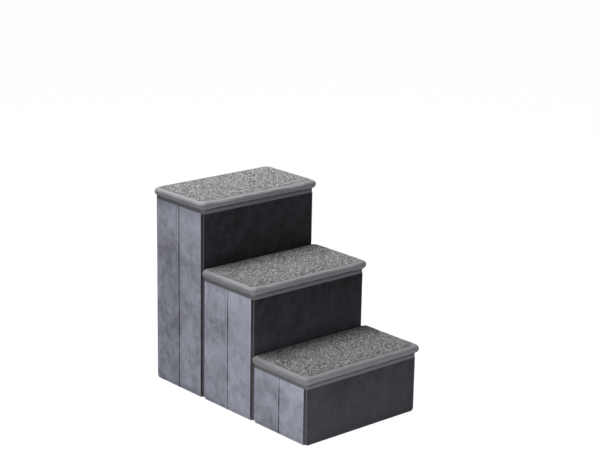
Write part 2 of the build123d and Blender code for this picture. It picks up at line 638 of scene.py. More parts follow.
class Slab:
    """Cloth over board: a cube that is rounded, cut into a grid and swollen a little."""

    def __init__(self, low: Sequence[float], high: Sequence[float]) -> None:
        """Starts the slab.

        Args:
            low: its lowest corner.
            high: its highest corner.
        """
        self.low = Vector(low)
        self.high = Vector(high)
        self.mesh = bmesh.new()
        bmesh.ops.create_cube(self.mesh, size=1.0)
        bmesh.ops.scale(self.mesh, vec=self.high - self.low, verts=self.mesh.verts)
        bmesh.ops.translate(self.mesh, vec=(self.low + self.high) / 2, verts=self.mesh.verts)

    def face(self, axis: Axis, side: int) -> list[bmesh.types.BMVert]:
        """Points on the face whose normal is an axis with this sign."""
        place = (self.high if side > 0 else self.low)[axis.value]
        return [v for v in self.mesh.verts if abs(v.co[axis.value] - place) <= TINY]

    def round_upright(self, x_side: int, y_side: int, radius: float, segments: int = 6) -> None:
        """Rounds one upright edge.

        Args:
            x_side: sign of the edge's X.
            y_side: sign of its Y.
            radius: radius in plan.
            segments: number of flats.
        """
        x = self.high.x if x_side > 0 else self.low.x
        y = self.high.y if y_side > 0 else self.low.y
        edges = [
            edge
            for edge in self.mesh.edges
            if all(abs(v.co.x - x) < TINY and abs(v.co.y - y) < TINY for v in edge.verts)
        ]
        bmesh.ops.bevel(
            self.mesh,
            geom=edges,
            offset=radius,
            segments=segments,
            profile=0.5,
            affect="EDGES",
            material=-1,
        )

    def cut(self, axis: Axis, places: Sequence[float]) -> None:
        """Cuts the slab into strips across an axis; once for each axis.

        Args:
            axis: the axis.
            places: where the cuts lie on it, in order.
        """
        groups: dict[tuple[float, float], list[bmesh.types.BMEdge]] = {}
        for edge in self.mesh.edges:
            run = edge.verts[1].co - edge.verts[0].co
            if abs(abs(run[axis.value]) - run.length) < TINY and run.length > TINY:
                ends = sorted(vertex.co[axis.value] for vertex in edge.verts)
                groups.setdefault((round(ends[0], 6), round(ends[1], 6)), []).append(edge)
        for (start, end), edges in groups.items():
            made = bmesh.ops.subdivide_edges(
                self.mesh, edges=edges, cuts=len(places), use_grid_fill=True
            )
            for vertex in made["geom_inner"]:
                if isinstance(vertex, bmesh.types.BMVert):
                    share = (vertex.co[axis.value] - start) / (end - start)
                    number = round(share * (len(places) + 1)) - 1
                    vertex.co[axis.value] = places[min(max(number, 0), len(places) - 1)]

    def grid(self, axis: Axis, spacing: float, near_ends: Sequence[float] = ()) -> None:
        """Cuts evenly along an axis, with finer cuts near both ends.

        Args:
            axis: the axis.
            spacing: smallest width of an even strip.
            near_ends: distances from each end that get a cut of their own.
        """
        low, high = self.low[axis.value], self.high[axis.value]
        count = max(int((high - low) / spacing), 1)
        inner = max(near_ends, default=0.0)
        places = [low + (high - low) * step / count for step in range(1, count)]
        places = [p for p in places if low + inner + TINY < p < high - inner - TINY]
        for distance in near_ends:
            places += [low + distance, high - distance]
        self.cut(axis, sorted(places))

    def roll(self, top: bool, radius: float, axis: Axis, side: int) -> None:
        """Rounds the bottom or top edges by drawing the slab in towards them.

        Args:
            top: True for the top, False for the bottom.
            radius: radius of the rounding.
            axis: the axis along which the slab is drawn in.
            side: which face is drawn in, or 0 for both.
        """
        low, high = self.low[axis.value], self.high[axis.value]
        for vertex in self.mesh.verts:
            depth = self.high.z - vertex.co.z if top else vertex.co.z - self.low.z
            inset = arc_inset(radius, max(depth, 0.0))
            if side == 0:
                share = (vertex.co[axis.value] - (low + high) / 2) / ((high - low) / 2)
            else:
                fixed = low if side > 0 else high
                share = side * abs(vertex.co[axis.value] - fixed) / (high - low)
            vertex.co[axis.value] -= share * inset

    def swell(self, axis: Axis, side: int, swell: Swell, seed: float) -> None:
        """Draws an outer face in towards its sewn edges, so that its middle swells unevenly.

        Args:
            axis: the face's normal.
            side: the sign of the normal.
            swell: how far and how evenly.
            seed: place in the random pattern.
        """
        others = [a.value for a in Axis if a is not axis]
        start = Vector((seed, seed * 0.7, 0.0))
        for vertex in self.face(axis, side):
            place = vertex.co
            room = min(min(place[a] - self.low[a], self.high[a] - place[a]) for a in others)
            pattern = swell.level + swell.uneven * noise.noise(place / swell.patch + start)
            full = min(ease(room / swell.edge) * pattern, 1.0)
            vertex.co[axis.value] -= side * swell.height * (1.0 - full)

    def puff(self, axis: Axis, side: int, height: float, fold: float | None) -> None:
        """Gives a binding its soft bulge between its two edges.

        Args:
            axis: normal of its outer face.
            side: sign of that normal.
            height: how far the middle stands out.
            fold: where a fold lies on Y, beside which the binding stays flat.
        """
        flat, eased, patch = 6.0 * MM, 16.0 * MM, 14.0 * MM
        for vertex in self.face(axis, side):
            share = (vertex.co.z - self.low.z) / (self.high.z - self.low.z)
            ripple = 1.0 + 0.35 * noise.noise(vertex.co / patch)
            beside = 1.0 if fold is None else ease((abs(vertex.co.y - fold) - flat) / eased)
            vertex.co[axis.value] += side * height * math.sin(math.pi * share) * ripple * beside


def strip(low: Sequence[float], high: Sequence[float], axis: Axis, spacing: float) -> Slab:
    """A thin flat strip of cloth, cut into a grid along its two long axes.

    Args:
        low: its lowest corner.
        high: its highest corner.
        axis: the strip's normal.
        spacing: smallest width of the grid.

    Returns:
        The strip.
    """
    slab = Slab(low, high)
    for other in Axis:
        if other is not axis:
            slab.grid(other, spacing)
    return slab


def repeated(shape: bpy.types.Mesh, steps: Sequence[tuple[int, Vector]]) -> bpy.types.Mesh:
    """Repeats a small shape in one or two directions.

    Args:
        shape: the shape.
        steps: how often and how far apart in each direction.

    Returns:
        A mesh with all the copies, the first direction running fastest.
    """
    holder = stand("shape", shape)
    for count, step in steps:
        array = holder.modifiers.new("array", "ARRAY")
        array.count = count
        array.use_relative_offset = False
        array.use_constant_offset = True
        array.constant_offset_displace = step
    bpy.context.view_layer.update()
    shaped = holder.evaluated_get(bpy.context.evaluated_depsgraph_get())
    made = bpy.data.meshes.new_from_object(shaped)
    bpy.data.objects.remove(holder)
    return made


def stitch_row(mesh: bmesh.types.BMesh, start: Triple, end: Triple) -> None:
    """Adds a row of stitches to a mesh.

    Args:
        mesh: the mesh.
        start: first end of the row.
        end: last end of the row.
    """
    run = Vector(end) - Vector(start)
    count = max(int(run.length / STITCH_PITCH), 1)
    turn = UP.rotation_difference(run.normalized()).to_matrix().to_4x4()
    stretch = Matrix.Diagonal((THREAD_RADIUS, THREAD_RADIUS, STITCH_REACH, 1.0))
    place = Matrix.Translation(Vector(start) + run * (0.5 / count)) @ turn @ stretch
    single = bmesh.new()
    bmesh.ops.create_uvsphere(single, u_segments=6, v_segments=4, radius=1.0, matrix=place)
    take_in(mesh, repeated(mesh_data(single, "stitch"), ((count, run / count),)))


def skin(mesh: bmesh.types.BMesh, rings: Sequence[Sequence[Vector]]) -> None:
    """Adds a closed skin through rings of points, drawn from each ring to the next.

    Args:
        mesh: the mesh that the skin is added to.
        rings: the rings, each with as many points and in the same order.
    """
    circle = bmesh.ops.create_circle(mesh, segments=len(rings[0]), radius=1.0)["verts"]
    order = {vertex: number for number, vertex in enumerate(circle)}
    edges = list({edge for vertex in order for edge in vertex.link_edges})
    bmesh.ops.contextual_create(mesh, geom=edges)
    for vertex, number in order.items():
        vertex.co = rings[0][number]
    for ring in rings[1:]:
        made = bmesh.ops.extrude_edge_only(mesh, edges=edges)["geom"]
        drawn: dict[bmesh.types.BMVert, int] = {}
        for vertex in (part for part in made if isinstance(part, bmesh.types.BMVert)):
            others = (edge.other_vert(vertex) for edge in vertex.link_edges)
            drawn[vertex] = order[next(other for other in others if other in order)]
            vertex.co = ring[drawn[vertex]]
        sides = (part for part in made if isinstance(part, bmesh.types.BMEdge))
        edges = [edge for edge in sides if set(edge.verts) <= drawn.keys()]
        order = drawn
    bmesh.ops.contextual_create(mesh, geom=edges)


def cord(mesh: bmesh.types.BMesh, route: Sequence[Vector], radius: float, sides: int = 8) -> None:
    """Adds a round cord along a route of points.

    Args:
        mesh: the mesh that the cord is added to.
        route: the points, from end to end.
        radius: the cord's radius.
        sides: number of flats round it.
    """
    rings: list[list[Vector]] = []
    angles = [2.0 * math.pi * side / sides for side in range(sides)]
    for number, point in enumerate(route):
        ahead = route[min(number + 1, len(route) - 1)] - route[max(number - 1, 0)]
        turn = UP.rotation_difference(ahead.normalized()).to_matrix()
        spokes = (turn @ Vector((math.cos(a), math.sin(a), 0.0)) for a in angles)
        rings.append([point + spoke * radius for spoke in spokes])
    skin(mesh, rings)


# The walls of a box

def cuts(*steps: float) -> tuple[float, ...]:
    """Places of cuts, given in millimetres."""
    return tuple(step * MM for step in steps)


LOW_CUTS = cuts(0.25, 0.7, 1.4, 2.5, 4.2, 6.5, 9.5)
RIM_CUTS = cuts(0.2, 0.7, 1.5, 2.5, 4.0)
SEAM_CUTS = cuts(2.4, 3.6, 4.9, 6.2, 7.4, 8.2, 9.0, 9.8, 10.8)
HEM_CUTS = cuts(0.25, 0.7, 1.4, 2.5, 5.0, 5.8, 6.5, 7.2, 8.0)
BACK_CUTS = cuts(9.0)
TAPE_CUTS = cuts(1.0, 3.0)


@dataclass(frozen=True)
class NapLie:
    """Painted light and shade on a box's panels, lighter or darker as light reaches them.

    Attributes:
        sides: painted light or shade that the halves of a side add to the tone.
        riser: painted light or shade that the riser adds to it.
        fade: how much lighter per metre the riser is painted away from the lid, as its painted
            shade fades.
    """

    sides: Mapping[Half, float]
    riser: float
    fade: float


# painted light and shade by box: the low riser lighter, the upper risers darker, the front halves
# of the sides lighter than the back halves
PAINTED_LIGHTS = {
    StepName.LOW: NapLie({Half.BACK: 0.0, Half.FRONT: 0.14}, riser=0.45, fade=4.5),
    StepName.MIDDLE: NapLie({Half.BACK: 0.02, Half.FRONT: 0.2}, riser=-0.18, fade=4.5),
    StepName.HIGH: NapLie({Half.BACK: -0.17, Half.FRONT: 0.0}, riser=-0.36, fade=0.0),
}
# Painted shade and highlights. On a riser: shade in the seams, a highlight beside them, and shade
# above the floor. On a side: shade in the fold and in the furrow beside it, a highlight on the
# welt beside the fold and at the end, and shade in the hem's furrow and at the floor.
RISER_SEAM_SHADING = (Mark(-0.45, 8.5 * MM, 0.9 * MM), Mark(0.2, 5.5 * MM, 2.5 * MM))
RISER_FOOT_SHADE = (Mark(-0.15, 0.0, 7.0 * MM),)
FOLD_SHADE = (Mark(-0.8, 0.0, 3.6 * MM), Mark(-0.1, 9.0 * MM, 1.6 * MM))
FOLD_HIGHLIGHT = {
    Half.BACK: (Mark(0.3, 5.2 * MM, 2.2 * MM),),
    Half.FRONT: (Mark(0.1, 5.2 * MM, 2.2 * MM),),
}
END_HIGHLIGHT = (Mark(0.16, 3.0 * MM, 2.4 * MM),)
HEM_SHADE = (Mark(-0.14, 6.5 * MM, 1.6 * MM), Mark(-0.3, 0.0, 2.0 * MM))
# How high the cloth of a side stands beside an edge and above the floor.
WELT = (Mark(1.0, 4.9 * MM, 3.0 * MM), Mark(-0.8, 9.0 * MM, 1.8 * MM))
HEM_FURROW = (Mark(-0.7, 6.5 * MM, 1.4 * MM),)


@dataclass(frozen=True)
class WallSizes:
    """Sizes shared by the walls: radii, smallest strips of the meshes, linings and rims.

    Attributes:
        shaded: height over which the painted shade under the lid fades on a riser.
        lining: depth from the solid's inner face to the back of the lining.
        lining_rest: depth of the lining's face below the solid's.
        lining_margin: room under a lining, and beside it on a side half.
        corner_room: room beside the linings of the riser and the back.
        rim_room: room between a lining and the rim.
        rim_stitch: height of the stitches that hold a rim, from its lower edge.
    """

    riser_corner: float = 7.0 * MM
    back_corner: float = 4.5 * MM
    bottom_corner: float = 9.5 * MM
    bottom_edge: float = 2.5 * MM
    seam_edge: float = 2.0 * MM
    end_edge: float = 0.8 * MM
    rim_edge: float = 2.5 * MM
    grid: float = 12.0 * MM
    rim_grid: float = 8.0 * MM
    lining_grid: float = 40.0 * MM
    piping: float = 1.2 * MM
    shaded: float = 140.0 * MM
    lining: float = 0.35 * MM
    lining_rest: float = 0.03 * MM
    lining_margin: float = 5.0 * MM
    corner_room: float = 13.0 * MM
    rim_room: float = 1.0 * MM
    rim_stitch: float = 2.6 * MM


@dataclass
class Part:
    """Something that belongs to one box of the stairs."""

    step: StepName

    @property
    def seed(self) -> int:
        """A number of the box's own for its random patterns."""
        return ord(self.step.value[0])

    def named(self, what: str) -> str:
        """Name of one of the box's bodies, solids or pieces."""
        return f"{self.step.value}_{what}"


@dataclass
class Wall(Part):
    """What the walls of a box share.

    Attributes:
        axis: the wall's normal.
        out: the sign of that axis which points out of the box.
    """

    sizes: ClassVar[WallSizes] = WallSizes()
    axis: ClassVar[Axis] = Axis.Y
    out: ClassVar[int] = -1

    @property
    def stem(self) -> str:
        """Start of the names of the wall's solids and pieces."""
        raise NotImplementedError

    @property
    def body(self) -> str:
        """The body that carries the wall."""
        return self.stem

    def cover_slab(self, low: Vector, high: Vector) -> Slab:
        """Starts a cover, which is thinner than its solid by the lining.

        Args:
            low: lowest corner of the solid.
            high: its highest corner.

        Returns:
            The cover.
        """
        corners = Vector(low), Vector(high)
        corners[0 if self.out > 0 else 1][self.axis.value] += self.out * self.sizes.lining
        return Slab(*corners)

    def round_corners(self, slab: Slab, radius: float) -> None:
        """Rounds the two outer corners of a front or back in plan."""
        for side in (-1, 1):
            slab.round_upright(side, self.out, radius)

    def roll_foot(self, slab: Slab) -> None:
        """Rounds the lower corners of a front or back, and its lower edge outside."""
        slab.roll(False, self.sizes.bottom_corner, Axis.X, 0)
        slab.roll(False, self.sizes.bottom_edge, Axis.Y, self.out)

    def bind(self, slab: Slab, puff: float = 0.0, fold: float | None = None) -> None:
        """Makes the velour binding over the top of the wall.

        Args:
            slab: its slab, with rounded upright edges.
            puff: how far its middle stands out.
            fold: where a fold lies on Y, beside which it stays flat.
        """
        slab.grid(Axis(1 - self.axis.value), self.sizes.rim_grid)
        slab.grid(Axis.Z, self.sizes.rim_grid, RIM_CUTS)
        if puff:
            slab.puff(self.axis, self.out, puff, fold)
        slab.roll(True, self.sizes.rim_edge, self.axis, 0)
        seat(slab.mesh, f"{self.stem}_binding", RIM_VELOUR, self.body, (f"{self.stem}_rim",))

    def line(self, low: Vector, high: Vector, room: float) -> None:
        """Adds the lining on the inside of the wall.

        Args:
            low: lowest corner of the wall.
            high: its highest corner under the rim.
            room: room beside the lining.
        """
        start, end = Vector(low), Vector(high)
        inner = (start if self.out > 0 else end)[self.axis.value]
        depths = (self.sizes.lining_rest, self.sizes.lining)
        places = sorted(inner + self.out * depth for depth in depths)
        start[self.axis.value], end[self.axis.value] = places
        start[1 - self.axis.value] += room
        end[1 - self.axis.value] -= room
        start.z += self.sizes.lining_margin
        end.z -= self.sizes.rim_room
        slab = strip(start, end, self.axis, self.sizes.lining_grid)
        seat(slab.mesh, f"{self.stem}_lining", DARK_LINING, self.body)


@dataclass
class RiserWall(Wall):
    """Padded front wall of a box with its rim, piping and stitching."""

    seam_inset: float = 8.5 * MM
    furrow: float = 0.5 * MM
    swell: Swell = Swell(0.9 * MM, patch=60.0 * MM, edge=35.0 * MM)
    rim_puff: float = 1.3 * MM
    cord_turn: float = 13.0
    cord_steps: int = 6
    cord_reach: float = 0.88
    stitch_inset: float = 2.2 * MM
    stitch_depth: float = 0.65
    stitch_ends: tuple[float, float] = (12.0 * MM, 2.0 * MM)
    rim_thread: float = 0.55 * MM

    @property
    def stem(self) -> str:
        """Start of the riser's names, which is its body's name too."""
        return self.named("riser")

    def build(self) -> None:
        """Builds all the riser's pieces."""
        low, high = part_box(f"{self.stem}_cover")
        self.cover(low, high)
        slab = Slab(*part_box(f"{self.stem}_rim"))
        self.round_corners(slab, self.sizes.riser_corner)
        self.bind(slab, self.rim_puff)
        self.piping(low)
        self.stitches(low, high)
        self.line(low, high, self.sizes.corner_room)

    def cover(self, low: Vector, high: Vector) -> None:
        """The padded suede cover.

        Args:
            low: lowest corner of its solid.
            high: its highest corner.
        """
        slab = self.cover_slab(low, high)
        self.round_corners(slab, self.sizes.riser_corner)
        seam = self.seam_inset
        slab.grid(Axis.X, self.sizes.grid, (seam, seam - MM, seam + MM))
        slab.grid(Axis.Z, self.sizes.grid, LOW_CUTS)
        slab.swell(self.axis, self.out, self.swell, self.seed)
        self.groove(slab)
        self.roll_foot(slab)
        nodes = (f"{self.stem}_cover",)
        piece = seat(slab.mesh, f"{self.stem}_suede", RISER_SUEDE, self.body, nodes)
        nap = PAINTED_LIGHTS[self.step]

        def shade(point: Vector) -> float:
            """Painted shade in the seams, at the floor and under the lid; highlights beside the
            seams.

            Args:
                point: a point of the cover.

            Returns:
                What is added to the tone there.
            """
            room = min(point.x - low.x, high.x - point.x)
            # painted shade under the lid, lighter further down, and the box's painted light or
            # shade
            below = min(high.z - point.z, self.sizes.shaded) - self.sizes.shaded / 2
            marks = marked(RISER_SEAM_SHADING, room) + marked(RISER_FOOT_SHADE, point.z - low.z)
            return nap.riser + nap.fade * below + marks

        brush(piece, shade)

    def groove(self, slab: Slab) -> None:
        """Draws the cloth in along the two upright seams.

        Args:
            slab: the cover.
        """
        for vertex in slab.mesh.verts:
            if vertex.co.y > slab.low.y + 2.0 * self.swell.height:
                continue
            room = min(vertex.co.x - slab.low.x, slab.high.x - vertex.co.x)
            if abs(room - self.seam_inset) < 0.2 * MM:
                vertex.co.y += self.furrow

    def piping(self, low: Vector) -> None:
        """The two covered cords down the front corners, which turn in under them.

        Args:
            low: lowest corner of the cover.
        """
        node = f"{self.stem}_piping"
        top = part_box(node)[1].z
        inset = self.sizes.riser_corner * (1.0 - math.sqrt(0.5))
        turn = self.sizes.bottom_corner
        mesh = bmesh.new()
        for side in (-1, 1):
            x, y = side * (abs(low.x) - inset), low.y + inset
            route = [Vector((x, y, top)), Vector((x, y, turn))]
            for number in range(1, self.cord_steps + 1):
                angle = math.radians(self.cord_turn * number)
                drawn_in = turn * (1.0 - math.cos(angle))
                drop = turn * math.sin(angle) * self.cord_reach
                route.append(Vector((x - side * drawn_in, y, turn - drop)))
            cord(mesh, route, self.sizes.piping)
        seat(mesh, self.named("piping_cords"), PIPING_CLOTH, self.body, (node,))

    def stitches(self, low: Vector, high: Vector) -> None:
        """The seams inside the corners and the row that holds the rim.

        Args:
            low: lowest corner of the cover.
            high: its highest corner.
        """
        mesh = bmesh.new()
        y = low.y + self.stitch_depth * self.swell.height
        bottom, top = low.z + self.stitch_ends[0], high.z - self.stitch_ends[1]
        for side in (-1, 1):
            x = side * (abs(low.x) - self.seam_inset - self.stitch_inset)
            stitch_row(mesh, (x, y, bottom), (x, y, top))
        y, z = low.y - self.rim_thread, high.z + self.sizes.rim_stitch
        reach = abs(low.x) - self.sizes.riser_corner
        stitch_row(mesh, (-reach, y, z), (reach, y, z))
        seat(mesh, f"{self.stem}_stitches", RISER_THREAD, self.body)


@dataclass
class SideHalf(Wall):
    """One covered half of a side, which folds inwards at its seam with the other half."""

    side: Side
    half: Half
    axis: ClassVar[Axis] = Axis.X
    swell: Swell = Swell(0.62 * MM, patch=50.0 * MM, edge=20.0 * MM)
    seam_welt: float = 0.6 * MM
    end_welt: float = 0.4 * MM
    rim_puff: float = 0.5 * MM
    # painted light: lighter towards the top over top_share of the side's height; tone darkens the
    # whole side to balance it
    top_light: float = 0.46
    top_share: float = 0.3
    tone: float = -0.08
    stitch_inset: float = 9.0 * MM
    stitch_depth: float = 0.15 * MM
    stitch_ends: tuple[float, float] = (5.0 * MM, 1.5 * MM)
    rim_depth: float = 0.1 * MM
    rim_ends: tuple[float, float] = (14.0 * MM, 2.5 * MM)

    @property
    def stem(self) -> str:
        """Start of the half's names, which is its body's name too."""
        return self.named(f"{self.side.word}_{self.half.value}")

    @property
    def out(self) -> int:
        """The sign of X that points out of the box."""
        return self.side.value

    @property
    def inward(self) -> int:
        """The sign of Y that points from the seam into the half."""
        return 1 if self.half is Half.BACK else -1

    def build(self) -> None:
        """Builds all the half's pieces; its solid's tongue stands in the rim."""
        low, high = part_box(f"{self.stem}_half")
        rim_low, rim_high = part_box(f"{self.stem}_rim")
        high = Vector((high.x, high.y, rim_low.z))
        self.cover(low, high)
        slab = Slab(rim_low, rim_high)
        self.round_edges(slab)
        self.bind(slab, self.rim_puff, self.ends(rim_low, rim_high)[0])
        self.line(low, high, self.sizes.lining_margin)
        self.stitches(low, high)

    def ends(self, low: Vector, high: Vector) -> tuple[float, float]:
        """Where the seam and the other end lie on Y, from the corners of a solid."""
        return (low.y, high.y) if self.half is Half.BACK else (high.y, low.y)

    def round_edges(self, slab: Slab) -> None:
        """Rounds the outer upright edges, more at the seam."""
        slab.round_upright(self.out, -self.inward, self.sizes.seam_edge, 5)
        slab.round_upright(self.out, self.inward, self.sizes.end_edge, 3)

    def cover(self, low: Vector, high: Vector) -> None:
        """The suede cover.

        Args:
            low: lowest corner of the half.
            high: its highest corner under the rim.
        """
        slab = self.cover_slab(low, high)
        self.round_edges(slab)
        slab.grid(Axis.Y, self.sizes.grid, SEAM_CUTS)
        slab.grid(Axis.Z, self.sizes.grid, HEM_CUTS)
        slab.swell(self.axis, self.out, self.swell, self.seed + self.out * 3.0)
        seam, end = self.ends(low, high)
        self.welt(slab, seam, self.seam_welt)
        self.welt(slab, end, self.end_welt)
        slab.roll(False, self.sizes.bottom_edge, self.axis, self.out)
        nodes = (f"{self.stem}_half",)
        piece = seat(slab.mesh, f"{self.stem}_suede", SIDE_SUEDE, self.body, nodes)
        # painted light or shade of this half, lowered by tone
        painted_offset = PAINTED_LIGHTS[self.step].sides[self.half] + self.tone
        fade = self.top_share * (high.z - low.z)

        def shade(point: Vector) -> float:
            """Painted highlights on the welts, painted light at the top, painted shade in the fold,
            hem and below.

            Args:
                point: a point of the cover.

            Returns:
                What is added to the tone there.
            """
            marks = marked(FOLD_SHADE + FOLD_HIGHLIGHT[self.half], abs(point.y - seam))
            marks += marked(END_HIGHLIGHT, abs(point.y - end)) + marked(HEM_SHADE, point.z - low.z)
            return painted_offset + self.top_light * bell(high.z - point.z, fade) + marks

        brush(piece, shade)

    def welt(self, slab: Slab, place: float, height: float) -> None:
        """Raises the doubled edge of the cover, with a furrow where it is sewn.

        Args:
            slab: the cover.
            place: where the edge lies on Y.
            height: how far the edge stands out.
        """
        middle = (slab.low.x + slab.high.x) / 2
        for vertex in slab.mesh.verts:
            if self.out * (vertex.co.x - middle) > 0.0:
                raised = marked(WELT, abs(vertex.co.y - place))
                raised += marked(HEM_FURROW, vertex.co.z - slab.low.z)
                vertex.co.x += self.out * height * raised

    def stitches(self, low: Vector, high: Vector) -> None:
        """The row beside the fold and the row that holds the rim.

        Args:
            low: lowest corner of the half.
            high: its highest corner under the rim.
        """
        outer = low.x if self.side is Side.LEFT else high.x
        seam, end = self.ends(low, high)
        mesh = bmesh.new()
        x = outer - self.out * (self.swell.height + self.stitch_depth)
        y = seam + self.inward * self.stitch_inset
        bottom, top = low.z + self.stitch_ends[0], high.z - self.stitch_ends[1]
        stitch_row(mesh, (x, y, bottom), (x, y, top))
        x, z = outer - self.out * self.rim_depth, high.z + self.sizes.rim_stitch
        near = seam + self.inward * self.rim_ends[0]
        far = end - self.inward * self.rim_ends[1]
        stitch_row(mesh, (x, near, z), (x, far, z))
        seat(mesh, f"{self.stem}_stitches", SIDE_THREAD, self.body)


@dataclass
class BackWall(Wall):
    """Covered back of a box with its rim, its lining and the tape of the lid."""

    out: ClassVar[int] = 1
    swell: Swell = Swell(0.7 * MM, patch=70.0 * MM, edge=35.0 * MM)
    swell_seed: float = 5.0
    tape_thread: float = 0.1 * MM
    tape_rows: tuple[float, float] = (2.5 * MM, 9.0 * MM)
    tape_margin: float = 3.0 * MM

    @property
    def stem(self) -> str:
        """Start of the back's names."""
        return self.named("back")

    @property
    def body(self) -> str:
        """The body that carries the back."""
        return BACK_BODY[self.step]

    def build(self) -> None:
        """Builds all the back's pieces."""
        low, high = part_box(f"{self.stem}_panel")
        rim_low, rim_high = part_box(f"{self.stem}_rim")
        high = Vector((high.x, high.y, rim_low.z))
        self.cover(low, high)
        slab = Slab(rim_low, rim_high)
        self.round_corners(slab, self.sizes.back_corner)
        self.bind(slab)
        self.tape()
        self.line(low, high, self.sizes.corner_room)

    def cover(self, low: Vector, high: Vector) -> None:
        """The suede cover, swollen where no box stands behind it.

        Args:
            low: lowest corner of the panel.
            high: its highest corner under the rim.
        """
        slab = self.cover_slab(low, high)
        self.round_corners(slab, self.sizes.back_corner)
        slab.grid(Axis.X, self.sizes.grid, BACK_CUTS)
        slab.grid(Axis.Z, self.sizes.grid, LOW_CUTS)
        if self.step is StepName.HIGH:
            slab.swell(self.axis, self.out, self.swell, self.swell_seed)
        self.roll_foot(slab)
        nodes = (f"{self.stem}_panel",)
        seat(slab.mesh, f"{self.stem}_suede", SIDE_SUEDE, self.body, nodes)

    def tape(self) -> None:
        """The velour tape that holds the lid, sewn on along its lower edge."""
        node = self.named("lid_hinge_tape")
        low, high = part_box(node)
        slab = Slab(low, high)
        slab.grid(Axis.X, self.sizes.rim_grid)
        slab.grid(Axis.Z, self.sizes.rim_grid, TAPE_CUTS)
        tape = seat(slab.mesh, self.named("hinge_tape"), RIM_VELOUR, self.body, (node,))
        f"{self.stem}_suede"
        mesh = bmesh.new()
        y = high.y + self.tape_thread
        left, right = low.x + self.tape_margin, high.x - self.tape_margin
        for row in self.tape_rows:
            stitch_row(mesh, (left, y, low.z + row), (right, y, low.z + row))
        seat(mesh, self.named("tape_stitches"), VELOUR_THREAD, self.body)


# The lid

@dataclass(frozen=True)
class LidSizes:
    """Sizes of a lid, of the board in it and of the carpet's bed.

    Margins count from the outline, and corners are radii in plan.

    Attributes:
        edge: radius of the full round edge.
        bed_edge: radius of the edge where the border turns down into the bed.
        board_edge: height of the border's lower edge beside the board.
        board_cut: how far this edge is drawn in below.
        carpet_edge: width and height of the carpet's slanted edge.
        stitch_inset: way from the round edge out to the stitches.
        stitch_depth: depth of the stitches below the top.
        corner_steps: points on a corner of a ring round the lid.
        long_cuts: points on the ring's long side.
        short_cuts: points on its short side.
    """

    edge: float = 10.25 * MM
    corner: float = 14.0 * MM
    board_margin: float = 15.0 * MM
    board_corner: float = 6.0 * MM
    board_depth: float = 5.0 * MM
    bed_margin: float = 12.0 * MM
    bed_corner: float = 10.0 * MM
    bed_depth: float = 6.5 * MM
    bed_edge: float = 1.5 * MM
    board_edge: float = 0.3 * MM
    board_cut: float = 1.0 * MM
    carpet_edge: float = 1.0 * MM
    stitch_inset: float = 1.0 * MM
    stitch_depth: float = 0.2 * MM
    corner_steps: int = 8
    long_cuts: int = 56
    short_cuts: int = 30


@dataclass(frozen=True)
class Filling:
    """How the border is filled, as a cloth under pressure.

    Attributes:
        pressure: the pressure in it.
        slack: share by which the cloth may stretch.
        drawn_in: how far it lies inside its solid at the start.
        give: how far a point may move.
        held: room round the sewn edges within which a point counts as sewn.
        frames: length of the simulation.
        quality: its steps for each frame.
        dent: depth of the uneven dents.
        dent_size: their size.
        dent_level: level of the random pattern below which they start.
        dent_step: step in the pattern from box to box.
        gather: height of the gathers round the corners.
        gathers: how close they are, in waves for a full turn.
        gather_reach: way from the start of the corner to where they are full.
        foot_reach: height above the underside where dents and gathers are full.
    """

    pressure: float = 4.0
    slack: float = 0.02
    drawn_in: float = 0.5 * MM
    give: float = 0.7 * MM
    held: float = 0.1 * MM
    frames: int = 20
    quality: int = 3
    dent: float = 0.4 * MM
    dent_size: float = 26.0 * MM
    dent_level: float = 0.4
    dent_step: float = 0.37
    gather: float = 0.12 * MM
    gathers: float = 26.0
    gather_reach: float = 10.0 * MM
    foot_reach: float = 6.0 * MM


@dataclass(frozen=True)
class Yarn:
    """The carpet's loops and the greys of their yarn.

    Attributes:
        pitch: distance from loop to loop.
        radius: radius of a loop, seen from above.
        height: how far it stands out of the backing.
        grey: middle grey of the yarn.
        clump: how strongly it changes from clump to clump.
        clump_size: size of a clump.
        drift: how strongly it changes over the tread.
        drift_size: size of these patches.
        scatter: how strongly it changes from loop to loop.
        flecks: share of dark flecks, and above which share the light ones start.
        dark: factor on the grey of dark flecks.
        light: factor on the grey of light flecks.
        lift: what is added to light flecks.
        limits: darkest and lightest grey.
        backing: grey of the backing.
        neutral: the grey that is neither warm nor cool.
        warmth: how much warmer lighter yarn is.
        blue: share of blue in neutral yarn.
        cooling: how much faster blue falls than red rises.
        margin: room that a loop keeps from the outline, as a share of its radius.
        jitter: how far loops leave their row, as a share of the pitch.
        lengths: shortest and longest loop, as shares of the radius.
        widths: narrowest and widest loop, likewise.
        heights: lowest and highest loop, as shares of the height.
    """

    pitch: float = 3.3 * MM
    radius: float = 2.05 * MM
    height: float = 1.7 * MM
    grey: float = 0.23
    clump: float = 0.16
    clump_size: float = 5.5 * MM
    drift: float = 0.04
    drift_size: float = 30.0 * MM
    scatter: float = 0.06
    flecks: tuple[float, float] = (0.12, 0.92)
    dark: float = 0.35
    light: float = 1.6
    lift: float = 0.04
    limits: tuple[float, float] = (0.03, 0.6)
    backing: float = 0.09
    neutral: float = 0.2
    warmth: float = 0.17
    blue: float = 1.02
    cooling: float = 1.3
    margin: float = 0.9
    jitter: float = 0.3
    lengths: tuple[float, float] = (0.95, 1.35)
    widths: tuple[float, float] = (0.7, 0.95)
    heights: tuple[float, float] = (0.75, 1.1)


def arc(step: int) -> list[tuple[float, float]]:
    """Cosine and sine of the angles of a quarter turn, by steps in degrees."""
    angles = [math.radians(degrees) for degrees in range(0, 91, step)]
    return [(math.cos(angle), math.sin(angle)) for angle in angles]


